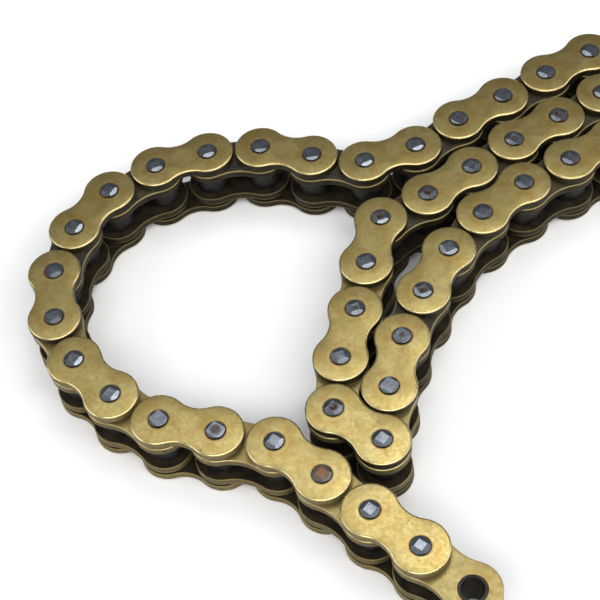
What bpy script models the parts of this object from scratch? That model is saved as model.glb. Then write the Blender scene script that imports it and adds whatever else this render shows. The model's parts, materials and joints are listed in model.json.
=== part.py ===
"""Sealed drive chain, lying on its side in the folds it was put down in.

Inner links (two plates on two bushes, each bush inside a roller) take turns with outer links
(two plates riveted on two pins). Every pin runs through a bush of the next link, so each pin
is a hinge about +Z. One outer link, the rivet link, and the inner link beside it, the roller
link, are built piece by piece. The other links are one solid each.
"""

import math

import bmesh
import bpy
from mathutils import Matrix, Vector

MM = 0.001

# Driving sizes of a 5/8 x 5/16 inch sealed chain, in metres
PITCH = 15.875 * MM
INNER_WIDTH = 7.94 * MM
PLATE_THICKNESS = 2.45 * MM
SEAL_SPACE = 0.95 * MM
PIN_STAND = 0.7 * MM
PIN_RADIUS = 2.7 * MM
ROLLER_RADIUS = 5.08 * MM
OUTER_LOBE_RADIUS = 7.6 * MM
OUTER_WAIST = 5.5 * MM
INNER_LOBE_RADIUS = 7.45 * MM
INNER_WAIST = 5.9 * MM
SEAL_RADIUS = 4.9 * MM

# Gaps between separate pieces
RUNNING_GAP = 0.3 * MM
FACE_GAP = 0.15 * MM

# Radii that follow from the pin outwards, one running gap at a time
BORE_RADIUS = PIN_RADIUS + 0.35 * MM
BUSH_RADIUS = BORE_RADIUS + 0.7 * MM
ROLLER_BORE_RADIUS = BUSH_RADIUS + RUNNING_GAP

# Heights of the stack, from the ends of the pins that the chain lies on
OUTER_LOW = PIN_STAND
INNER_LOW = OUTER_LOW + PLATE_THICKNESS + SEAL_SPACE
ROLLER_LOW = INNER_LOW + PLATE_THICKNESS
INNER_HIGH = ROLLER_LOW + INNER_WIDTH
OUTER_HIGH = INNER_HIGH + PLATE_THICKNESS + SEAL_SPACE
TOP = OUTER_HIGH + PLATE_THICKNESS + PIN_STAND

# Steps in a full round, and in the arcs of a plate's outline
ROUND_STEPS = 12
FINE_ROUND_STEPS = 20
LOBE_STEPS = 8
WAIST_STEPS = 2
OVERLAP = 0.2 * MM

# Faces that meet at less than this are shaded as one round surface
SHARP_ANGLE = math.radians(40)

# The lie of the chain: how far each link turns left of the one before it, in degrees
FIRST_HEADING = 132
TURNS = {
    "tail": [0, -1, 2],
    "step out round the hairpin": [25, -1],
    "wrap": [-17, -14, -18, -20, -22, -19, -22, -17, -13, -18],
    "dip": [3, 30, 17, -4, 1, -3],
    "outer hairpin": [-55, -115, -8],
    "middle strand": [0, 5, -1, -5, 44, 4, -3, 8],
    "inner hairpin": [59, 120],
    "last strand": [-6, -9, -6, -11, -11, -9, -2, -2],
}
MIDDLE_LINK = 21
RIVET_LINK = 3
ROLLER_LINK = 4

GOLD = (0.42, 0.33, 0.13, 1.0)
STEEL = (0.18, 0.18, 0.20, 1.0)
DARK_STEEL = (0.08, 0.08, 0.085, 1.0)
SEAL_BLACK = (0.015, 0.015, 0.015, 1.0)


def clear_scene():
    for leftover in list(bpy.data.objects):
        bpy.data.objects.remove(leftover, do_unlink=True)


def make_material(name, colour, metallic, roughness):
    material = bpy.data.materials.new(name)
    material.use_nodes = True
    shader = material.node_tree.nodes["Principled BSDF"]
    shader.inputs["Base Color"].default_value = colour
    shader.inputs["Metallic"].default_value = metallic
    shader.inputs["Roughness"].default_value = roughness
    return material


def lay_out_chain():
    """The pins' places on the floor and the links' headings, with the pins' box about the origin."""
    heading = math.radians(FIRST_HEADING)
    pins = [Vector((0.0, 0.0))]
    headings = []
    for turn in [0] + [turn for stretch in TURNS.values() for turn in stretch]:
        heading += math.radians(turn)
        headings.append(heading)
        pins.append(pins[-1] + PITCH * Vector((math.cos(heading), math.sin(heading))))
    low = Vector((min(pin.x for pin in pins), min(pin.y for pin in pins)))
    high = Vector((max(pin.x for pin in pins), max(pin.y for pin in pins)))
    return [pin - (low + high) / 2 for pin in pins], headings


def plate_outline(lobe_radius, waist):
    """A plate's outline: round lobes about both pins, joined by hollow arcs tangent to them."""
    half_pitch = PITCH / 2
    hollow = (half_pitch**2 + waist**2 - lobe_radius**2) / (2 * (lobe_radius - waist))
    hollow_centre = hollow + waist
    tangent = math.atan2(hollow_centre, half_pitch)
    reach = math.pi - tangent
    lobe = []
    for step in range(LOBE_STEPS + 1):
        angle = -reach + 2 * reach * step / LOBE_STEPS
        lobe.append((half_pitch + lobe_radius * math.cos(angle), lobe_radius * math.sin(angle)))
    side = []
    for step in range(1, WAIST_STEPS):
        angle = -tangent - (math.pi - 2 * tangent) * step / WAIST_STEPS
        side.append((hollow * math.cos(angle), hollow_centre + hollow * math.sin(angle)))
    half = lobe + side
    return half + [(-x, -y) for x, y in half]


def circle_outline(centre_x, radius, steps):
    """A hole's outline, turning the other way round from the plate's."""
    angles = [-2 * math.pi * step / steps for step in range(steps)]
    return [(centre_x + radius * math.cos(a), radius * math.sin(a)) for a in angles]


def extruded_mesh(name, outlines, low, high):
    """A flat 2D curve, filled and extruded from low to high, as a closed mesh."""
    curve = bpy.data.curves.new(name, "CURVE")
    curve.dimensions = "2D"
    curve.fill_mode = "BOTH"
    curve.extrude = (high - low) / 2
    for outline in outlines:
        spline = curve.splines.new("POLY")
        spline.points.add(len(outline) - 1)
        spline.use_cyclic_u = True
        for point, (x, y) in zip(spline.points, outline):
            point.co = (x, y, 0.0, 1.0)
    holder = bpy.data.objects.new(name, curve)
    bpy.context.scene.collection.objects.link(holder)
    evaluated = holder.evaluated_get(bpy.context.evaluated_depsgraph_get())
    mesh = bpy.data.meshes.new_from_object(evaluated)
    bpy.data.objects.remove(holder, do_unlink=True)
    mesh.transform(Matrix.Translation((0.0, 0.0, (low + high) / 2)))
    weld_and_face_out(mesh)
    return mesh


def weld_and_face_out(mesh):
    work = bmesh.new()
    work.from_mesh(mesh)
    bmesh.ops.remove_doubles(work, verts=work.verts, dist=0.001 * MM)
    bmesh.ops.recalc_face_normals(work, faces=work.faces)
    work.to_mesh(mesh)
    work.free()


def cylinder_mesh(name, centre_x, radius, low, high, steps):
    mesh = bpy.data.meshes.new(name)
    work = bmesh.new()
    bmesh.ops.create_cone(
        work,
        cap_ends=True,
        segments=steps,
        radius1=radius,
        radius2=radius,
        depth=high - low,
        matrix=Matrix.Translation((centre_x, 0.0, (low + high) / 2)),
    )
    work.to_mesh(mesh)
    work.free()
    return mesh


def tube_mesh(name, radius, bore, low, high):
    """A bush, roller or seal: a wall turned about its own axis with a Screw modifier."""
    mesh = bpy.data.meshes.new(name)
    work = bmesh.new()
    profile = [(radius, high), (radius, low), (bore, low), (bore, high)]
    corners = [work.verts.new((r, 0.0, z)) for r, z in profile]
    for first, second in zip(corners, corners[1:] + corners[:1]):
        work.edges.new((first, second))
    work.to_mesh(mesh)
    work.free()
    holder = bpy.data.objects.new(name, mesh)
    bpy.context.scene.collection.objects.link(holder)
    screw = holder.modifiers.new("Turn", "SCREW")
    screw.steps = FINE_ROUND_STEPS
    screw.render_steps = FINE_ROUND_STEPS
    screw.use_merge_vertices = True
    screw.merge_threshold = 0.001 * MM
    evaluated = holder.evaluated_get(bpy.context.evaluated_depsgraph_get())
    turned = bpy.data.meshes.new_from_object(evaluated)
    bpy.data.objects.remove(holder, do_unlink=True)
    weld_and_face_out(turned)
    return turned


def combined(name, solids, operation):
    """The first mesh with each of the others joined to it or cut from it."""
    holder = bpy.data.objects.new(name, solids[0])
    bpy.context.scene.collection.objects.link(holder)
    helpers = []
    for mesh in solids[1:]:
        helper = bpy.data.objects.new(name + "_helper", mesh)
        bpy.context.scene.collection.objects.link(helper)
        boolean = holder.modifiers.new("Boolean", "BOOLEAN")
        boolean.operation = operation
        boolean.solver = "EXACT"
        boolean.object = helper
        helpers.append(helper)
    evaluated = holder.evaluated_get(bpy.context.evaluated_depsgraph_get())
    mesh = bpy.data.meshes.new_from_object(evaluated)
    for temporary in [holder] + helpers:
        bpy.data.objects.remove(temporary, do_unlink=True)
    mesh.name = name
    return mesh


def outer_plate(name, low, holes):
    outlines = [plate_outline(OUTER_LOBE_RADIUS, OUTER_WAIST)]
    if holes:
        for x in (-PITCH / 2, PITCH / 2):
            outlines.append(circle_outline(x, PIN_RADIUS + RUNNING_GAP, FINE_ROUND_STEPS))
    return extruded_mesh(name, outlines, low, low + PLATE_THICKNESS)


def inner_plate(name, low, holes):
    outlines = [plate_outline(INNER_LOBE_RADIUS, INNER_WAIST)]
    if holes:
        for x in (-PITCH / 2, PITCH / 2):
            outlines.append(circle_outline(x, BUSH_RADIUS + RUNNING_GAP, FINE_ROUND_STEPS))
    return extruded_mesh(name, outlines, low, low + PLATE_THICKNESS)


def whole_outer_link():
    """Two outer plates on two pins."""
    solids = [outer_plate("outer_link", OUTER_LOW, False), outer_plate("outer_link", OUTER_HIGH, False)]
    for x in (-PITCH / 2, PITCH / 2):
        solids.append(cylinder_mesh("outer_link", x, PIN_RADIUS, 0.0, TOP, ROUND_STEPS))
    return combined("outer_link", solids, "UNION")


def whole_inner_link():
    """Two inner plates joined by their bushes and rollers, bored through for the pins."""
    solids = [inner_plate("inner_link", INNER_LOW, False), inner_plate("inner_link", INNER_HIGH, False)]
    bores = []
    for x in (-PITCH / 2, PITCH / 2):
        solids.append(
            cylinder_mesh(
                "inner_link", x, ROLLER_RADIUS, ROLLER_LOW - OVERLAP, INNER_HIGH + OVERLAP, ROUND_STEPS
            )
        )
        bores.append(cylinder_mesh("inner_link", x, BORE_RADIUS, -OVERLAP, TOP, ROUND_STEPS))
    body = combined("inner_link", solids, "UNION")
    return combined("inner_link", [body] + bores, "DIFFERENCE")


def rivet_link_pieces():
    """The outer link that closes the chain, as (name, mesh, material, place along the link)."""
    pieces = [
        ("rivet_link_lower_plate", outer_plate("lower", OUTER_LOW, True), "plate_gold", 0.0),
        ("rivet_link_upper_plate", outer_plate("upper", OUTER_HIGH, True), "plate_gold", 0.0),
    ]
    pin = cylinder_mesh("pin", 0.0, PIN_RADIUS, 0.0, TOP, FINE_ROUND_STEPS)
    seals = {
        "lower": seal_ring(OUTER_LOW + PLATE_THICKNESS),
        "upper": seal_ring(INNER_HIGH + PLATE_THICKNESS),
    }
    for end, x in (("first", -PITCH / 2), ("second", PITCH / 2)):
        pieces.append((f"rivet_link_{end}_pin", pin, "pin_steel", x))
        for side, seal in seals.items():
            pieces.append((f"rivet_link_{end}_{side}_seal", seal, "seal_rubber", x))
    return pieces


def seal_ring(plate_face):
    """A seal about the pin, in the space above a plate's face."""
    low = plate_face + FACE_GAP
    high = plate_face + SEAL_SPACE - FACE_GAP
    return tube_mesh("seal", SEAL_RADIUS, BUSH_RADIUS + RUNNING_GAP, low, high)


def roller_link_pieces():
    """One inner link in its own pieces: plates, bushes and the rollers that turn on them."""
    pieces = [
        ("roller_link_lower_plate", inner_plate("lower", INNER_LOW, True), "plate_gold", 0.0),
        ("roller_link_upper_plate", inner_plate("upper", INNER_HIGH, True), "plate_gold", 0.0),
    ]
    bush_low = INNER_LOW - FACE_GAP
    bush_high = INNER_HIGH + PLATE_THICKNESS + FACE_GAP
    bush = tube_mesh("bush", BUSH_RADIUS, BORE_RADIUS, bush_low, bush_high)
    roller_low = ROLLER_LOW + RUNNING_GAP
    roller_high = INNER_HIGH - RUNNING_GAP
    roller = tube_mesh("roller", ROLLER_RADIUS, ROLLER_BORE_RADIUS, roller_low, roller_high)
    for end, x in (("first", -PITCH / 2), ("second", PITCH / 2)):
        pieces.append((f"roller_link_{end}_bush", bush, "bush_steel", x))
        pieces.append((f"roller_link_{end}_roller", roller, "bush_steel", x))
    return pieces


def finish_mesh(mesh, material):
    """Gives a mesh its material and round shading, once for all the pieces that share it."""
    if mesh.materials:
        return
    mesh.materials.append(material)
    mesh.shade_smooth()
    mesh.set_sharp_from_angle(angle=SHARP_ANGLE)


def link_pieces(number, outer_mesh, inner_mesh):
    if number == RIVET_LINK:
        return rivet_link_pieces()
    if number == ROLLER_LINK:
        return roller_link_pieces()
    if number % 2:
        return [(f"outer_link_{number:02d}", outer_mesh, "plate_gold", 0.0)]
    return [(f"inner_link_{number:02d}", inner_mesh, "plate_gold", 0.0)]


def build():
    clear_scene()
    chain = bpy.data.collections.new("drive_chain")
    bpy.context.scene.collection.children.link(chain)
    materials = {
        "plate_gold": make_material("plate_gold", GOLD, 0.6, 0.45),
        "pin_steel": make_material("pin_steel", STEEL, 0.8, 0.35),
        "bush_steel": make_material("bush_steel", DARK_STEEL, 0.8, 0.5),
        "seal_rubber": make_material("seal_rubber", SEAL_BLACK, 0.0, 0.7),
    }
    outer_mesh = whole_outer_link()
    inner_mesh = whole_inner_link()
    pins, headings = lay_out_chain()
    for number, heading in enumerate(headings):
        # A link hangs on the pin nearer the middle link, so its frame stands there
        after_middle = number >= MIDDLE_LINK
        pin = pins[number] if after_middle else pins[number + 1]
        to_centre = PITCH / 2 if after_middle else -PITCH / 2
        frame = bpy.data.objects.new(f"frame_{number:02d}", None)
        chain.objects.link(frame)
        frame.location = (pin.x, pin.y, 0.0)
        frame.rotation_euler = (0.0, 0.0, heading)
        for name, mesh, material, along in link_pieces(number, outer_mesh, inner_mesh):
            finish_mesh(mesh, materials[material])
            piece = bpy.data.objects.new(name, mesh)
            chain.objects.link(piece)
            piece.parent = frame
            piece.location = (to_centre + along, 0.0, 0.0)


build()
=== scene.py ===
"""Looks of the sealed drive chain: every link is made again from its separate pieces.

An outer link is two plates with a rolled rim, two staked pins and the seals. An inner link is two
plates, two bushes and two rollers. Each piece lies where its link's solid lies and rides on that
link's body. Shapes are in metres and are made in each link's own frame, +X along the link.
"""

import json
import math
import random

import bmesh
import bpy
from mathutils import Matrix, Vector

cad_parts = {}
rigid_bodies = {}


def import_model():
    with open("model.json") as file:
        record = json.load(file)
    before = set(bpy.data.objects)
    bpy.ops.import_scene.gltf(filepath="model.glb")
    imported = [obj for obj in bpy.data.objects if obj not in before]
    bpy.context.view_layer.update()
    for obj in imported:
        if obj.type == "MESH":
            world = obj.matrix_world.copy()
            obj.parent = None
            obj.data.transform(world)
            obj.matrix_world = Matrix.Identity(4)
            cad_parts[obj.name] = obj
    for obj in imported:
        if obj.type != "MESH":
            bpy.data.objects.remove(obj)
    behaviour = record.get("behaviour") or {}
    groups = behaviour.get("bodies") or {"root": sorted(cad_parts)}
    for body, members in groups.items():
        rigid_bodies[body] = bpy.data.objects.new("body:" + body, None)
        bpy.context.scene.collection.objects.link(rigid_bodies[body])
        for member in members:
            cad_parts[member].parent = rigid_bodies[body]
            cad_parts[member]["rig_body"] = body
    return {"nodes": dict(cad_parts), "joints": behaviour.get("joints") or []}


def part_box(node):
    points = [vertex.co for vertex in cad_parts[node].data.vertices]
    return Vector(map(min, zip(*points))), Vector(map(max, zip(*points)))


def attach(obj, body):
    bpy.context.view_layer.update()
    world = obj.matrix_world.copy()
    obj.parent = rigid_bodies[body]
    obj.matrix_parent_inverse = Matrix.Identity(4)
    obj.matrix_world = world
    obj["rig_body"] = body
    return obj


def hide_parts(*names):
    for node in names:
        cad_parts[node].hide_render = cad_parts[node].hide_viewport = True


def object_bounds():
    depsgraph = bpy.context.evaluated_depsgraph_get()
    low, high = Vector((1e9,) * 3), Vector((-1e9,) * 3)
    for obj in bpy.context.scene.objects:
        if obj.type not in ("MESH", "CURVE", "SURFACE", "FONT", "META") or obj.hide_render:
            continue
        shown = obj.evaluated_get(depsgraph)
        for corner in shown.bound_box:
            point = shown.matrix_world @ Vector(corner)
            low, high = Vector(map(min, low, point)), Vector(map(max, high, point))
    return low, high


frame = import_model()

CAD_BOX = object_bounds()

MM = 0.001

# Sizes of a 5/8 x 5/16 inch sealed chain
PITCH = 15.875 * MM
PLATE_THICKNESS = 2.45 * MM
SEAL_SPACE = 0.95 * MM
INNER_WIDTH = 7.94 * MM
PIN_STAND = 0.7 * MM
OUTER_LOBE_RADIUS = 7.6 * MM
OUTER_WAIST = 5.5 * MM
INNER_LOBE_RADIUS = 7.45 * MM
INNER_WAIST = 5.9 * MM
PIN_RADIUS = 2.62 * MM
PIN_HOLE_RADIUS = 2.67 * MM
BUSH_RADIUS = 3.75 * MM
BUSH_HOLE_RADIUS = BUSH_RADIUS + 0.02 * MM
BUSH_BORE = 3.0 * MM
ROLLER_RADIUS = 5.08 * MM
ROLLER_BORE = 4.0 * MM
SEAL_RADIUS = 4.95 * MM
SEAL_BORE = BUSH_RADIUS + 0.15 * MM

# Heights of the stack above the floor
OUTER_LOW = PIN_STAND
INNER_LOW = OUTER_LOW + PLATE_THICKNESS + SEAL_SPACE
ROLLER_LOW = INNER_LOW + PLATE_THICKNESS
INNER_HIGH = ROLLER_LOW + INNER_WIDTH
OUTER_HIGH = INNER_HIGH + PLATE_THICKNESS + SEAL_SPACE
TOP = OUTER_HIGH + PLATE_THICKNESS + PIN_STAND

# How far a bush's ends stand out of the inner plates, and the room at a roller's and a seal's ends
BUSH_STAND = 0.1 * MM
ROLLER_GAP = 0.15 * MM
SEAL_GAP = 0.06 * MM

# Width and depth of the rounding along a plate's edges, and the other edges' rounding
OUTER_RIM = (0.60 * MM, 0.50 * MM)
PLATE_RIM = (0.38 * MM, 0.30 * MM)
HOLE_CHAMFER = 0.08 * MM
BUSH_EDGE = 0.15 * MM
ROLLER_EDGE = 0.5 * MM

# A pin's staked ends: their height, the radius at the foot of the bevels, and how far from the
# axis the flat can reach. The dimple's floor and rim are shares of the flat.
PIN_END = 0.6 * MM
BEVEL_FOOT = PIN_RADIUS * 0.955
FLAT_LIMIT = BEVEL_FOOT * 0.97
DIMPLE_FLOOR = 0.30
DIMPLE_RIM = 0.62

# A seal's X-shaped section: its lips, and its mean size, the swing to a lip or a hollow, and scale
SEAL_LIPS = 4
LIP_MEAN = 0.84
LIP_SWING = 0.16
LIP_SCALE = 1.25

# The floor's half width, and its gap below the chain
FLOOR_HALF_WIDTH = 4.0
FLOOR_GAP = 0.05 * MM

# How finely the pieces are divided
LOBE_STEPS = 44
WAIST_STEPS = 10
CENTRE_STEPS = 8
RIM_STEPS = 6
EDGE_STEPS = 4
ROUND_STEPS = 64
SEAL_STEPS = 16

WELD_DISTANCE = 0.0005 * MM
SHARP_ANGLE = math.radians(38)
FACET_ANGLE = math.radians(8)

# Pins by their place in the chain, counted from the tail
RUSTY_PINS = {3}
BROWN_PINS = {5, 25, 28, 29, 33, 37}
SPOTTED_PINS = {19, 26, 31, 36}
BROWN_DIMPLE = 0.12 * MM
SPOTTED_DIMPLE = 0.05 * MM

# How the riveting tool's square stood on each outer link, in degrees, and how far, in radians, a
# pin's own square strays from that
RIVET_TURNS = {7: 50, 9: 12, 11: 52, 13: 15, 15: -2, 17: 15, 27: 45, 29: 12, 31: 12, 37: 20}
USUAL_RIVET_TURN = 45
RIVET_TURN_SPREAD = 0.04

# The square's half width in millimetres, and the slope of the bevels beside it
FLAT_RANGE = (1.15, 1.45)
SLOPE_RANGE = (0.25, 0.30)

# Links whose pin ends the tool left almost round, and the half width of the flat there
ROUNDED_LINKS = {5, 19, 35}
ROUNDED_FLAT = 1.85 * MM

# Links with less grease and less painted shade on them
LESS_SHADED_LINKS = {0, 1, 2, 3, 4, 5, 6, 7, 8, 30, 32, 34}

# How far apart in the noise, in metres, the marks of different pieces are taken
MARK_SPREAD = (57.0, 31.0, 83.0)

# Colours of the plating, from the metal to the stains, grease and painted shade on it
DEEP_GOLD = (0.50, 0.40, 0.15)
LIGHT_GOLD = (0.63, 0.52, 0.22)
GRAIN_GOLD = (0.42, 0.325, 0.115)
SCRATCH_GOLD = (0.70, 0.60, 0.30)
HALO_GOLD = (0.66, 0.57, 0.30)
# Lighter gold for the rims: wear and a painted highlight
WORN_SHEEN_GOLD = (0.78, 0.66, 0.34)
BROWN_STAIN = (0.44, 0.27, 0.065)
BROWN_SMUDGE = (0.32, 0.21, 0.07)
DARK_SPECK = (0.13, 0.09, 0.04)
# Soiling and painted shade round each pin
RING_SOIL_AND_SHADE = (0.12, 0.085, 0.04)
# Grease and painted shade on the plates' sides
SIDE_SHADE_AND_GREASE = (0.014, 0.011, 0.006)
# Grease and painted shade over an inner plate's outside face
FACE_SHADE_AND_GREASE = (0.030, 0.029, 0.026)
# Painted shade with grease on the plates' inside faces
INSIDE_SHADE_AND_GREASE = (0.012, 0.010, 0.008)

# Colours of the pins
DARK_STEEL = (0.17, 0.19, 0.22)
LIGHT_STEEL = (0.25, 0.275, 0.31)
# Painted shade on a pin's sides
STEEL_SIDE_SHADE = (0.03, 0.028, 0.026)
RUST = (0.15, 0.066, 0.024)
BROWN_RUST = (0.040, 0.022, 0.016)
DARK_RUST = (0.050, 0.036, 0.028)

# The studio: the world's light, and the floor's colour
WORLD_COLOUR = (0.88, 0.94, 1.0, 1)
WORLD_STRENGTH = 0.10
FLOOR_COLOUR = (0.88, 0.88, 0.88)

# Area lights, as (name, place, the point they face, width, depth, radiance)
AREA_LIGHTS = (
    ("overhead", (0.0, 0.50, 1.25), (0.0, 0.50, 0.0), 2.6, 2.0, 0.05),
    ("fill", (0.10, 0.08, 1.20), (0.10, 0.08, 0.0), 1.5, 0.5, 0.4),
    ("key", (0.20, 0.378, 1.15), (0.20, 0.378, 0.0), 0.45, 0.475, 3.3),
    ("second_key", (-0.275, 0.55, 1.15), (-0.275, 0.55, 0.0), 0.45, 0.16, 2.9),
    ("front", (0.1, -0.75, 1.20), (0.0, 0.0, 0.0), 1.8, 0.7, 5.0),
    ("left", (-1.4, 0.0, 1.0), (0.0, 0.0, 0.0), 1.4, 0.8, 3.0),
    ("right", (1.5, -0.2, 1.0), (0.0, 0.0, 0.0), 1.4, 0.8, 3.0),
)

# The camera: its aim, its height above the floor as an angle, its roll, distance and lens
CAMERA_AIM = Vector((-22.6, 7.45, 21.04)) * MM
CAMERA_PITCH = math.radians(55.0)
CAMERA_ROLL = math.radians(9.19)
CAMERA_DISTANCE = 401.26 * MM
CAMERA_LENS = 87.9
CAMERA_SENSOR = 36
CAMERA_CLIP_START = 0.01


# Shapes

def finished_mesh(name, work, material, sharp_angle=SHARP_ANGLE):
    """Welds a bmesh, turns its faces out and returns it as a smooth-shaded mesh."""
    bmesh.ops.remove_doubles(work, verts=work.verts, dist=WELD_DISTANCE)
    bmesh.ops.recalc_face_normals(work, faces=work.faces)
    mesh = bpy.data.meshes.new(name)
    work.to_mesh(mesh)
    work.free()
    mesh.shade_smooth()
    mesh.set_sharp_from_angle(angle=sharp_angle)
    mesh.materials.append(material)
    return mesh


def bridge(work, first, second):
    """Quads between two closed rings of the same length."""
    for i in range(len(first)):
        j = (i + 1) % len(first)
        corners = [first[i], first[j], second[j], second[i]]
        if len(set(corners)) == 4:
            work.faces.new(corners)


def plate_outline(lobe_radius, waist, inset):
    """A plate's edge, inset from it: lobe arcs round both pins and hollow arcs tangent to them."""
    half_pitch = PITCH / 2
    hollow = (half_pitch**2 + waist**2 - lobe_radius**2) / (2 * (lobe_radius - waist))
    hollow_centre = hollow + waist
    tangent = math.atan2(hollow_centre, half_pitch)
    reach = math.pi - tangent
    lobe = []
    for step in range(LOBE_STEPS + 1):
        angle = -reach + 2 * reach * step / LOBE_STEPS
        radius = lobe_radius - inset
        lobe.append((half_pitch + radius * math.cos(angle), radius * math.sin(angle)))
    side = []
    for step in range(1, WAIST_STEPS):
        angle = -tangent - (math.pi - 2 * tangent) * step / WAIST_STEPS
        radius = hollow + inset
        side.append((radius * math.cos(angle), hollow_centre + radius * math.sin(angle)))
    half = lobe + side
    return half + [(-x, -y) for x, y in half]


def plate_face(work, outline, z, hole_radius):
    """The flat face inside an outline: two rings of quads, one round each pin hole."""
    top_middle = LOBE_STEPS + WAIST_STEPS // 2
    bottom_middle = len(outline) // 2 + top_middle
    right = outline[bottom_middle:] + outline[: top_middle + 1]
    waist = right[-1][1]
    line = [(0.0, waist * (1 - 2 * step / CENTRE_STEPS)) for step in range(1, CENTRE_STEPS)]
    loop = right + line
    holes = []
    for side in (1, -1):
        outer = [work.verts.new((side * x, side * y, z)) for x, y in loop]
        inner = []
        for x, y in loop:
            angle = math.atan2(y, x - PITCH / 2)
            hole_x = PITCH / 2 + hole_radius * math.cos(angle)
            hole_y = hole_radius * math.sin(angle)
            inner.append(work.verts.new((side * hole_x, side * hole_y, z)))
        bridge(work, outer, inner)
        holes.append(inner)
    return holes


def rounded_rim(rim):
    """Steps (inset, depth) of an edge's rounding, from the face to the side."""
    width, depth = rim
    angles = [math.pi / 2 * step / RIM_STEPS for step in range(RIM_STEPS + 1)]
    return [(width * (1 - math.sin(angle)), depth * (1 - math.cos(angle))) for angle in angles]


def plate_mesh(name, material, lobe_radius, waist, hole_radius, outside_rim):
    """A plate on z = 0 with its outside up."""
    work = bmesh.new()
    levels = [(inset, PLATE_THICKNESS - depth) for inset, depth in rounded_rim(outside_rim)]
    levels += [(inset, depth) for inset, depth in reversed(rounded_rim(PLATE_RIM))]
    rings = []
    for inset, z in levels:
        outline = plate_outline(lobe_radius, waist, inset)
        rings.append([work.verts.new((x, y, z)) for x, y in outline])
    for first, second in zip(rings, rings[1:]):
        bridge(work, first, second)
    top_outline = plate_outline(lobe_radius, waist, outside_rim[0])
    low_outline = plate_outline(lobe_radius, waist, PLATE_RIM[0])
    top_holes = plate_face(work, top_outline, PLATE_THICKNESS, hole_radius + HOLE_CHAMFER)
    low_holes = plate_face(work, low_outline, 0.0, hole_radius)
    neck_z = PLATE_THICKNESS - HOLE_CHAMFER
    for top_hole, low_hole in zip(top_holes, low_holes):
        neck = [work.verts.new((vertex.co.x, vertex.co.y, neck_z)) for vertex in low_hole]
        bridge(work, top_hole, neck)
        bridge(work, neck, low_hole)
    return finished_mesh(name, work, material)


def ring_of_points(work, radius, z, turn=0.0):
    """A closed ring of vertices. The radius and height may be functions of the angle from turn."""
    ring = []
    for step in range(ROUND_STEPS):
        angle = 2 * math.pi * step / ROUND_STEPS
        reach = radius(angle) if callable(radius) else radius
        height = z(angle) if callable(z) else z
        x = reach * math.cos(angle + turn)
        y = reach * math.sin(angle + turn)
        ring.append(work.verts.new((x, y, height)))
    return ring


def tube_mesh(name, material, profile):
    """A closed profile of (radius, height) points turned about +Z."""
    work = bmesh.new()
    rings = [ring_of_points(work, radius, z) for radius, z in profile]
    for first, second in zip(rings, rings[1:] + rings[:1]):
        bridge(work, first, second)
    return finished_mesh(name, work, material)


def tube_profile(radius, bore, low, high, edge):
    """A tube's section with rounded outer edges and a small chamfer in the bore."""
    profile = [(bore + edge / 2, high), (radius - edge, high)]
    for step in range(1, EDGE_STEPS):
        angle = math.pi / 2 * step / EDGE_STEPS
        inset = edge * (1 - math.sin(angle))
        depth = edge * (1 - math.cos(angle))
        profile.append((radius - inset, high - depth))
    profile.append((radius, high - edge))
    lower = [(r, low + high - z) for r, z in reversed(profile)]
    return profile + lower + [(bore, low + edge / 2), (bore, high - edge / 2)]


def seal_profile(z):
    """A seal's X-shaped section, with its middle at height z: four round lips."""
    middle = (SEAL_RADIUS + SEAL_BORE) / 2
    half_width = (SEAL_RADIUS - SEAL_BORE) / 2
    half_height = SEAL_SPACE / 2 - SEAL_GAP
    profile = []
    for step in range(SEAL_STEPS):
        angle = 2 * math.pi * step / SEAL_STEPS
        reach = LIP_SCALE * (LIP_MEAN - LIP_SWING * math.cos(SEAL_LIPS * angle))
        radius = middle + half_width * reach * math.cos(angle)
        profile.append((radius, z + half_height * reach * math.sin(angle)))
    return profile


def staked_end(work, rim, z, up, flat, slope, turn, dimple):
    """The end of a pin, pressed by the riveting tool: a square flat with a bevel to each side."""

    def square(angle):
        return min(flat / max(abs(math.cos(angle)), abs(math.sin(angle))), FLAT_LIMIT)

    def bevel_height(angle):
        across = BEVEL_FOOT * max(abs(math.cos(angle)), abs(math.sin(angle)))
        return z - up * slope * max(0.0, across - flat)

    rings = [
        ring_of_points(work, lambda angle: DIMPLE_FLOOR * square(angle), z - up * dimple, turn),
        ring_of_points(work, lambda angle: DIMPLE_RIM * square(angle), z, turn),
        ring_of_points(work, square, z, turn),
        ring_of_points(work, BEVEL_FOOT, bevel_height, turn),
        rim,
    ]
    for first, second in zip(rings, rings[1:]):
        bridge(work, first, second)
    work.faces.new(rings[0])


def pin_mesh(material, flat, slope, turn, dimple):
    """A pin staked at both ends. Only the upper end has the dimple."""
    work = bmesh.new()
    low = ring_of_points(work, PIN_RADIUS, PIN_END, turn)
    high = ring_of_points(work, PIN_RADIUS, TOP - PIN_END, turn)
    bridge(work, low, high)
    staked_end(work, high, TOP, 1, flat, slope, turn, dimple)
    staked_end(work, low, 0.0, -1, flat, slope, turn, 0.0)
    return finished_mesh("pin", work, material, FACET_ANGLE)


# Materials

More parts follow.
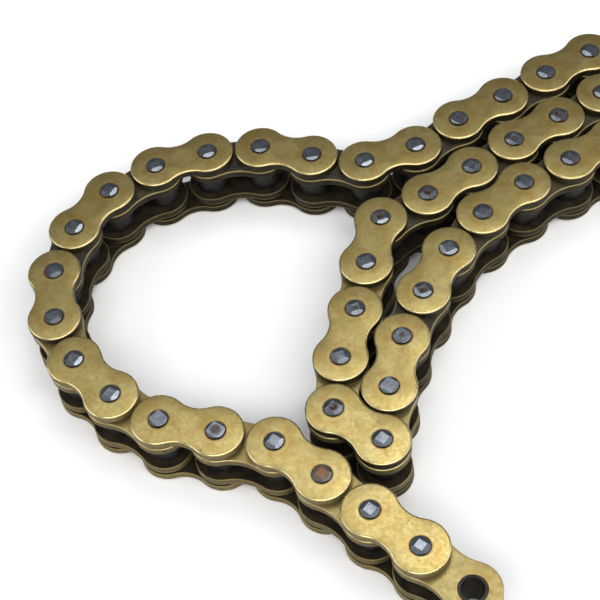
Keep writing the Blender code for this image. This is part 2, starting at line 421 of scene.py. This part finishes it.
class Shading:
    """A material's node tree, with short calls for the nodes used here."""

    def __init__(self, name):
        self.material = bpy.data.materials.new(name)
        self.material.use_nodes = True
        self.tree = self.material.node_tree
        self.shader = self.tree.nodes["Principled BSDF"]
        self.coordinates = self.node("TexCoord")
        chance = self.node("ObjectInfo")
        spread = self.node("VectorMath", operation="SCALE")
        spread.inputs[0].default_value = MARK_SPREAD
        self.link(chance.outputs["Random"], spread.inputs["Scale"])
        shift = self.node("VectorMath", operation="ADD")
        self.link(self.coordinates.outputs["Object"], shift.inputs[0])
        self.link(spread.outputs[0], shift.inputs[1])
        # The piece's own coordinates, shifted so that no two pieces are marked alike
        self.place = shift.outputs[0]
        place_parts = self.node("SeparateXYZ")
        self.link(self.coordinates.outputs["Object"], place_parts.inputs[0])
        self.x, self.y, self.z = place_parts.outputs
        normal_parts = self.node("SeparateXYZ")
        self.link(self.coordinates.outputs["Normal"], normal_parts.inputs[0])
        self.facing_up = normal_parts.outputs["Z"]

    def node(self, kind, **settings):
        node = self.tree.nodes.new("ShaderNode" + kind)
        for key, value in settings.items():
            setattr(node, key, value)
        return node

    def link(self, output, socket):
        self.tree.links.new(output, socket)

    def feed(self, value, socket):
        """Links an output to a socket, or sets the socket to a number or colour."""
        if isinstance(value, tuple):
            socket.default_value = (*value, 1.0)
        elif isinstance(value, (int, float)):
            socket.default_value = value
        else:
            self.link(value, socket)

    def noise(self, scale, detail, roughness=0.6, stretch=None):
        """Noise of a scale per metre, stretched by different factors along the axes if wanted."""
        place = self.place
        if stretch:
            along = self.node("VectorMath", operation="MULTIPLY")
            along.inputs[1].default_value = stretch
            self.link(place, along.inputs[0])
            place = along.outputs[0]
        noise = self.node("TexNoise")
        noise.inputs["Scale"].default_value = scale
        noise.inputs["Detail"].default_value = detail
        noise.inputs["Roughness"].default_value = roughness
        self.link(place, noise.inputs["Vector"])
        return noise.outputs["Fac"]

    def span(self, value, low, high, start=0.0, end=1.0):
        """Maps low..high of a value smoothly onto start..end."""
        span = self.node("MapRange", interpolation_type="SMOOTHSTEP")
        span.inputs["From Min"].default_value = low
        span.inputs["From Max"].default_value = high
        span.inputs["To Min"].default_value = start
        span.inputs["To Max"].default_value = end
        self.link(value, span.inputs["Value"])
        return span.outputs["Result"]

    def maths(self, operation, first, second=0.0):
        maths = self.node("Math", operation=operation)
        self.feed(first, maths.inputs[0])
        self.feed(second, maths.inputs[1])
        return maths.outputs[0]

    def larger(self, first, second):
        return self.maths("MAXIMUM", first, second)

    def times(self, *factors):
        product = factors[0]
        for factor in factors[1:]:
            product = self.maths("MULTIPLY", product, factor)
        return product

    def mix(self, factor, first, second):
        """A colour between two others. The node's colour sockets come after its other types'."""
        mix = self.node("Mix", data_type="RGBA")
        self.feed(factor, mix.inputs[0])
        self.feed(first, mix.inputs[6])
        self.feed(second, mix.inputs[7])
        return mix.outputs[2]

    def from_axis(self, x):
        """The distance from an upright axis at y = 0."""
        flat = self.node("CombineXYZ")
        self.feed(x, flat.inputs[0])
        self.feed(self.y, flat.inputs[1])
        length = self.node("VectorMath", operation="LENGTH")
        self.link(flat.outputs[0], length.inputs[0])
        return length.outputs["Value"]

    def bump(self, height, strength, distance):
        bump = self.node("Bump")
        bump.inputs["Strength"].default_value = strength
        bump.inputs["Distance"].default_value = distance
        self.link(height, bump.inputs["Height"])
        self.link(bump.outputs["Normal"], self.shader.inputs["Normal"])

    def finish(self, colour, metallic, roughness):
        self.feed(colour, self.shader.inputs["Base Color"])
        self.feed(metallic, self.shader.inputs["Metallic"])
        self.feed(roughness, self.shader.inputs["Roughness"])
        return self.material


def marked_gold(shading, fine, smear, scratches):
    """The plating's colour: mottled, scratched and stained, with a dark ring of soiling and
    painted shade round each pin.
    """
    cloud = shading.noise(140, 3)
    stain = shading.noise(230, 5, 0.7)
    specks = shading.noise(1700, 3, 0.5)
    patches = shading.noise(200, 2, 0.5)
    smudge = shading.noise(380, 5, 0.65)
    from_middle = shading.maths("ABSOLUTE", shading.x)
    pin_distance = shading.from_axis(shading.maths("SUBTRACT", from_middle, PITCH / 2))

    gold = shading.mix(shading.span(cloud, 0.35, 0.65), DEEP_GOLD, LIGHT_GOLD)
    gold = shading.mix(shading.span(fine, 0.3, 0.7, 0.0, 0.6), gold, GRAIN_GOLD)
    gold = shading.mix(shading.span(scratches, 0.55, 0.75, 0.0, 0.25), gold, SCRATCH_GOLD)

    near_pin = shading.span(pin_distance, 3.0 * MM, 6.0 * MM, 0.85, 0.35)
    blotch = shading.times(shading.span(stain, 0.40, 0.62), near_pin)
    gold = shading.mix(blotch, gold, BROWN_STAIN)

    near_edge = shading.span(pin_distance, 4.2 * MM, 6.6 * MM, 0.25, 1.0)
    dot = shading.span(specks, 0.48, 0.70)
    patch = shading.span(patches, 0.58, 0.72)
    gold = shading.mix(shading.times(dot, patch, near_edge, 0.7), gold, DARK_SPECK)

    # A dark ring of soiling and painted shade round each pin
    at_pin = shading.span(pin_distance, 2.75 * MM, 3.15 * MM, 0.9, 0.0)
    broken = shading.span(smear, 0.2, 0.6, 0.5, 1.0)
    gold = shading.mix(shading.times(at_pin, broken), gold, RING_SOIL_AND_SHADE)

    past_ring = shading.span(pin_distance, 3.0 * MM, 3.3 * MM)
    fading = shading.span(pin_distance, 3.5 * MM, 4.2 * MM, 0.2, 0.0)
    gold = shading.mix(shading.times(past_ring, fading), gold, HALO_GOLD)

    return shading.mix(shading.span(smudge, 0.50, 0.72, 0.0, 0.34), gold, BROWN_SMUDGE)


def plated_material(name, shade_film, side_shade_and_grease, wear_and_sheen):
    """Gold plating with wear, and with grease and painted shade on the plate's sides and inside.

    film is how far grease and painted shade darken the outside face, grime how far they darken the
    sides, and polish how far the rims are lighter, from wear and as a painted highlight.
    """
    shading = Shading(name)
    fine = shading.noise(1000, 4)
    smear = shading.noise(280, 4)
    scratches = shading.noise(260, 2, 0.5, (1.0, 14.0, 1.0))
    gold = marked_gold(shading, fine, smear, scratches)

    # Masks of the faces, by which way they look
    outside = shading.span(shading.facing_up, 0.93, 0.995)
    inside = shading.span(shading.facing_up, -0.995, -0.90, 1.0, 0.0)
    between = shading.maths("SUBTRACT", 1.0, shading.larger(outside, inside))

    # Wear and a painted highlight: lighter gold on the rim along the outside face
    rising = shading.span(shading.facing_up, 0.40, 0.65)
    not_level = shading.span(shading.facing_up, 0.93, 0.99, 1.0, 0.0)
    rubbed_sheen = shading.span(smear, 0.3, 0.6, 0.65 * wear_and_sheen, wear_and_sheen)
    worn_sheen = shading.times(rising, not_level, rubbed_sheen)
    gold = shading.mix(worn_sheen, gold, WORN_SHEEN_GOLD)

    # Grease and painted shade on the sides, lighter towards both edges
    rim_low, rim_high = PLATE_THICKNESS - 0.60 * MM, PLATE_THICKNESS - 0.10 * MM
    upper_edge = shading.span(shading.z, rim_low, rim_high, 1.0, 0.6 - 0.5 * wear_and_sheen)
    lower_edge = shading.span(shading.z, 0.05 * MM, 0.45 * MM, 0.80, 1.0)
    streaks = shading.span(smear, 0.3, 0.7, 0.96 * side_shade_and_grease, side_shade_and_grease)
    side = shading.times(between, upper_edge, lower_edge, streaks)
    colour = shading.mix(side, gold, SIDE_SHADE_AND_GREASE)

    # Grease and painted shade over the outside face, where the outer plates shade the inner plates
    face_shade = shading.times(outside, shading.span(smear, 0.35, 0.75, 1.0, 0.90), shade_film)
    colour = shading.mix(face_shade, colour, FACE_SHADE_AND_GREASE)
    # Painted shade, with grease, on the inside faces
    shade = shading.times(inside, shading.span(smear, 0.3, 0.7, 1.0, 0.96))
    colour = shading.mix(shade, colour, INSIDE_SHADE_AND_GREASE)

    # Less metal and more roughness under the grease and painted shade
    grease_and_shade = shading.larger(side, shading.larger(face_shade, shade))
    metallic = shading.span(grease_and_shade, 0.0, 1.0, 0.96, 0.15)
    bare_roughness = shading.span(fine, 0.3, 0.7, 0.28, 0.38)
    grease_and_shade_roughness = shading.span(grease_and_shade, 0.0, 1.0, 0.0, 0.16)
    rough = shading.maths("ADD", bare_roughness, grease_and_shade_roughness)
    rough = shading.maths("SUBTRACT", rough, shading.times(worn_sheen, 0.10))
    shading.bump(shading.maths("ADD", fine, shading.times(scratches, 0.5)), 0.06, 0.05 * MM)
    shading.shader.inputs["Specular IOR Level"].default_value = 0.12
    return shading.finish(colour, metallic, rough)


def pin_material(name, rust=0.0, rust_colour=None):
    """Dark blue-grey steel with smears, painted shade on the sides, and on some pins a brown
    middle.

    rust is how far the brown reaches from the pin's axis.
    """
    shading = Shading(name)
    smear = shading.noise(420, 3, 0.55)
    fine = shading.noise(1500, 3)
    steel = shading.mix(shading.span(smear, 0.3, 0.7), DARK_STEEL, LIGHT_STEEL)
    metallic = 0.9
    if rust:
        middle = shading.span(shading.from_axis(shading.x), rust * 0.5, rust, 1.0, 0.0)
        spot = shading.times(middle, shading.span(smear, 0.25, 0.6, 0.6, 1.0))
        steel = shading.mix(spot, steel, rust_colour)
        metallic = shading.span(spot, 0.0, 1.0, 0.9, 0.3)
    # Painted shade on the pin's sides
    sides = shading.span(shading.facing_up, 0.15, 0.6, 0.92, 0.0)
    steel = shading.mix(sides, steel, STEEL_SIDE_SHADE)
    shading.bump(shading.maths("ADD", smear, shading.times(fine, 0.3)), 0.03, 0.05 * MM)
    return shading.finish(steel, metallic, shading.span(fine, 0.3, 0.7, 0.18, 0.26))


def greasy_material(name, dark, light, metallic, roughness):
    """Steel or rubber under black grease."""
    shading = Shading(name)
    cloud = shading.noise(300, 4, 0.65)
    colour = shading.mix(shading.span(cloud, 0.35, 0.65), dark, light)
    rough = shading.span(cloud, 0.3, 0.7, roughness - 0.08, roughness + 0.08)
    shading.bump(cloud, 0.2, 0.08 * MM)
    return shading.finish(colour, metallic, rough)


# Where the links lie

def chain_links():
    """Each link in order, as (body, centre, heading)."""
    joints = {joint["name"]: joint for joint in frame["joints"]}
    pins = sorted(name for name in joints if name.startswith("pin_"))
    places = [Vector((*joints[name]["pos_m"][:2], 0.0)) for name in pins]
    pairs = [{joints[name]["parent"], joints[name]["child"]} for name in pins]
    bodies = [(pairs[0] - pairs[1]).pop()]
    bodies += [(first & second).pop() for first, second in zip(pairs, pairs[1:])]
    bodies += [(pairs[-1] - pairs[-2]).pop()]
    ends = []
    for body, pin in ((bodies[0], places[0]), (bodies[-1], places[-1])):
        low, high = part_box(body)
        centre = (low + high) / 2
        ends.append(Vector((2 * centre.x - pin.x, 2 * centre.y - pin.y, 0.0)))
    places = [ends[0]] + places + [ends[1]]
    links = []
    for body, first, second in zip(bodies, places, places[1:]):
        along = second - first
        links.append((body, (first + second) / 2, math.atan2(along.y, along.x)))
    return links


# The links' pieces

def add_piece(name, mesh, place, body, nodes):
    """Puts a mesh in its place, as a piece that rides on a body and stands for CAD nodes."""
    piece = bpy.data.objects.new(name, mesh)
    bpy.context.scene.collection.objects.link(piece)
    piece.matrix_world = place
    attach(piece, body)
    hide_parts(*nodes)


def nodes_of(body, *words):
    """The body's nodes whose names hold all the words, or all its nodes if it is one solid."""
    nodes = [node for node, thing in frame["nodes"].items() if thing["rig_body"] == body]
    return [node for node in nodes if all(word in node for word in words)] or nodes


def add_plates(label, body, mesh, low, high, place):
    """The upper plate as it is and the lower one turned over, so that both face outwards."""
    turned = Matrix.Translation((0, 0, low + PLATE_THICKNESS)) @ Matrix.Rotation(math.pi, 4, "X")
    for side, stand in (("upper", Matrix.Translation((0, 0, high))), ("lower", turned)):
        nodes = nodes_of(body, side, "plate")
        add_piece(f"{label}_{side}_plate", mesh, place @ stand, body, nodes)


def pin_spots(place):
    """A link's two pin axes, as (end, placing)."""
    for end, x in (("first", -PITCH / 2), ("second", PITCH / 2)):
        yield end, place @ Matrix.Translation((x, 0, 0))


def pin_metal(metals, pin):
    """The metal of a pin, by its place in the chain, and the depth of its dimple."""
    if pin in RUSTY_PINS:
        return metals["rusty"], 0.0
    if pin in BROWN_PINS:
        return metals["browned"], BROWN_DIMPLE
    if pin in SPOTTED_PINS:
        return metals["spotted"], SPOTTED_DIMPLE
    return metals["dark"], 0.0


def add_outer_link(number, body, place, heading, plate, pin_metals, seals):
    """Two plates, and at each end a pin and two seals."""
    chance = random.Random(number)
    label = f"outer_{number:02d}"
    add_plates(label, body, plate, OUTER_LOW, OUTER_HIGH, place)
    link_turn = math.radians(RIVET_TURNS.get(number, USUAL_RIVET_TURN)) - heading
    for pin, (end, spot) in enumerate(pin_spots(place), start=number):
        metal, dimple = pin_metal(pin_metals, pin)
        flat = chance.uniform(*FLAT_RANGE) * MM
        slope = chance.uniform(*SLOPE_RANGE)
        turn = link_turn + chance.gauss(0, RIVET_TURN_SPREAD)
        if number in ROUNDED_LINKS:
            flat, dimple = ROUNDED_FLAT, 0.0
        mesh = pin_mesh(metal, flat, slope, turn, dimple)
        nodes = nodes_of(body, end, "pin")
        add_piece(f"{label}_{end}_pin", mesh, spot, body, nodes)
        for side, seal in seals.items():
            nodes = nodes_of(body, end, side, "seal")
            add_piece(f"{label}_{end}_{side}_seal", seal, spot, body, nodes)


def add_inner_link(number, body, place, plate, bush, roller):
    """Two plates, and at each end a bush and a roller. Only the roller link's rollers turn."""
    label = f"inner_{number:02d}"
    add_plates(label, body, plate, INNER_LOW, INNER_HIGH, place)
    for end, spot in pin_spots(place):
        nodes = nodes_of(body, end, "bush")
        add_piece(f"{label}_{end}_bush", bush, spot, body, nodes)
        turning = f"{end}_roller" if body == "roller_link" else body
        add_piece(f"{label}_{end}_roller", roller, spot, turning, nodes_of(turning))


def plate_pair(name, metals, lobe_radius, waist, hole_radius, outside_rim):
    """The same plate twice, as most links have it and with less grease and painted shade."""
    return [
        plate_mesh(name, metal, lobe_radius, waist, hole_radius, outside_rim) for metal in metals
    ]


def build_chain():
    """Makes the materials and the shapes that links share, and every link from its pieces."""
    # The outer plates: rims lighter from wear and a painted highlight, sides with grease and
    # painted shade
    outer_metals = [
        plated_material("worn_plating_painted_light", shade_film=0.0, side_shade_and_grease=1.0, wear_and_sheen=0.8),
        plated_material("less_shaded_worn_plating_painted_light", shade_film=0.0, side_shade_and_grease=0.72, wear_and_sheen=0.8),
    ]
    # The inner plates: outside faces darkened with grease and painted shade
    inner_metals = [
        plated_material("greasy_plating_painted_shade", shade_film=0.98, side_shade_and_grease=1.0, wear_and_sheen=0.15),
        plated_material("less_shaded_greasy_plating_painted_shade", shade_film=0.30, side_shade_and_grease=0.80, wear_and_sheen=0.5),
    ]
    pin_metals = {
        "dark": pin_material("dark_steel"),
        "rusty": pin_material("rusty_steel", 2.8 * MM, RUST),
        "browned": pin_material("browned_steel", 1.8 * MM, BROWN_RUST),
        "spotted": pin_material("spotted_steel", 1.1 * MM, DARK_RUST),
    }
    # Rollers and bushes near-black: partly grease, partly painted shade between the plates
    roller_steel = greasy_material(
        "roller_grease_and_shade", (0.010, 0.009, 0.008), (0.028, 0.026, 0.023), metallic=0.5, roughness=0.5
    )
    bush_steel = greasy_material(
        "bush_grease_and_shade", (0.02, 0.018, 0.015), (0.05, 0.045, 0.04), metallic=0.7, roughness=0.45
    )
    rubber = greasy_material(
        "seal_rubber", (0.008, 0.008, 0.008), (0.02, 0.019, 0.018), metallic=0.0, roughness=0.55
    )

    outer_plate, less_shaded_outer_plate = plate_pair(
        "outer_plate", outer_metals, OUTER_LOBE_RADIUS, OUTER_WAIST, PIN_HOLE_RADIUS, OUTER_RIM
    )
    inner_plate, less_shaded_inner_plate = plate_pair(
        "inner_plate", inner_metals, INNER_LOBE_RADIUS, INNER_WAIST, BUSH_HOLE_RADIUS, PLATE_RIM
    )
    bush_low, bush_high = INNER_LOW - BUSH_STAND, INNER_HIGH + PLATE_THICKNESS + BUSH_STAND
    bush_section = tube_profile(BUSH_RADIUS, BUSH_BORE, bush_low, bush_high, BUSH_EDGE)
    bush = tube_mesh("bush", bush_steel, bush_section)
    roller_low, roller_high = ROLLER_LOW + ROLLER_GAP, INNER_HIGH - ROLLER_GAP
    roller_section = tube_profile(ROLLER_RADIUS, ROLLER_BORE, roller_low, roller_high, ROLLER_EDGE)
    roller = tube_mesh("roller", roller_steel, roller_section)
    seals = {
        "lower": tube_mesh("seal", rubber, seal_profile(INNER_LOW - SEAL_SPACE / 2)),
        "upper": tube_mesh("seal", rubber, seal_profile(OUTER_HIGH - SEAL_SPACE / 2)),
    }

    for number, (body, centre, heading) in enumerate(chain_links()):
        place = Matrix.Translation(centre) @ Matrix.Rotation(heading, 4, "Z")
        less_shaded = number in LESS_SHADED_LINKS
        if number % 2 == 1:
            plate = less_shaded_outer_plate if less_shaded else outer_plate
            add_outer_link(number, body, place, heading, plate, pin_metals, seals)
        else:
            plate = less_shaded_inner_plate if less_shaded else inner_plate
            add_inner_link(number, body, place, plate, bush, roller)


# Studio

def add_floor():
    mesh = bpy.data.meshes.new("floor")
    work = bmesh.new()
    bmesh.ops.create_grid(work, x_segments=1, y_segments=1, size=FLOOR_HALF_WIDTH)
    work.to_mesh(mesh)
    work.free()
    floor = bpy.data.objects.new("floor", mesh)
    bpy.context.scene.collection.objects.link(floor)
    floor.location = (0, 0, CAD_BOX[0][2] - FLOOR_GAP)
    shading = Shading("pale_floor")
    shading.shader.inputs["Specular IOR Level"].default_value = 0.0
    mesh.materials.append(shading.finish(FLOOR_COLOUR, 0.0, 0.9))


def add_area_light(name, place, target, width, depth, radiance):
    data = bpy.data.lights.new(name, "AREA")
    data.shape = "RECTANGLE"
    data.size = width
    data.size_y = depth
    data.energy = radiance * math.pi * width * depth
    light = bpy.data.objects.new(name, data)
    bpy.context.scene.collection.objects.link(light)
    light.location = place
    light.rotation_euler = (Vector(target) - Vector(place)).to_track_quat("-Z", "Y").to_euler()


def add_lights():
    """Dim broad panels overhead, two bright ones below them, and one in front and at each side."""
    world = bpy.data.worlds.new("studio")
    bpy.context.scene.world = world
    world.use_nodes = True
    background = world.node_tree.nodes["Background"]
    background.inputs["Color"].default_value = WORLD_COLOUR
    background.inputs["Strength"].default_value = WORLD_STRENGTH
    for settings in AREA_LIGHTS:
        add_area_light(*settings)
    bpy.context.scene.view_settings.view_transform = "Standard"


def add_camera():
    """A long lens on the chain's near side, 55 degrees above the floor and slightly rolled."""
    back = Vector((0, -math.cos(CAMERA_PITCH), math.sin(CAMERA_PITCH)))
    up = Vector((0, math.sin(CAMERA_PITCH), math.cos(CAMERA_PITCH)))
    right = Vector((1, 0, 0))
    camera_right = math.cos(CAMERA_ROLL) * right - math.sin(CAMERA_ROLL) * up
    camera_up = math.sin(CAMERA_ROLL) * right + math.cos(CAMERA_ROLL) * up
    data = bpy.data.cameras.new("camera")
    data.sensor_width = CAMERA_SENSOR
    data.lens = CAMERA_LENS
    data.clip_start = CAMERA_CLIP_START
    camera = bpy.data.objects.new("camera", data)
    bpy.context.scene.collection.objects.link(camera)
    turn = Matrix((camera_right, camera_up, back)).transposed()
    camera.matrix_world = Matrix.Translation(CAMERA_AIM + back * CAMERA_DISTANCE) @ turn.to_4x4()
    bpy.context.scene.camera = camera


build_chain()
add_floor()
add_lights()
add_camera()
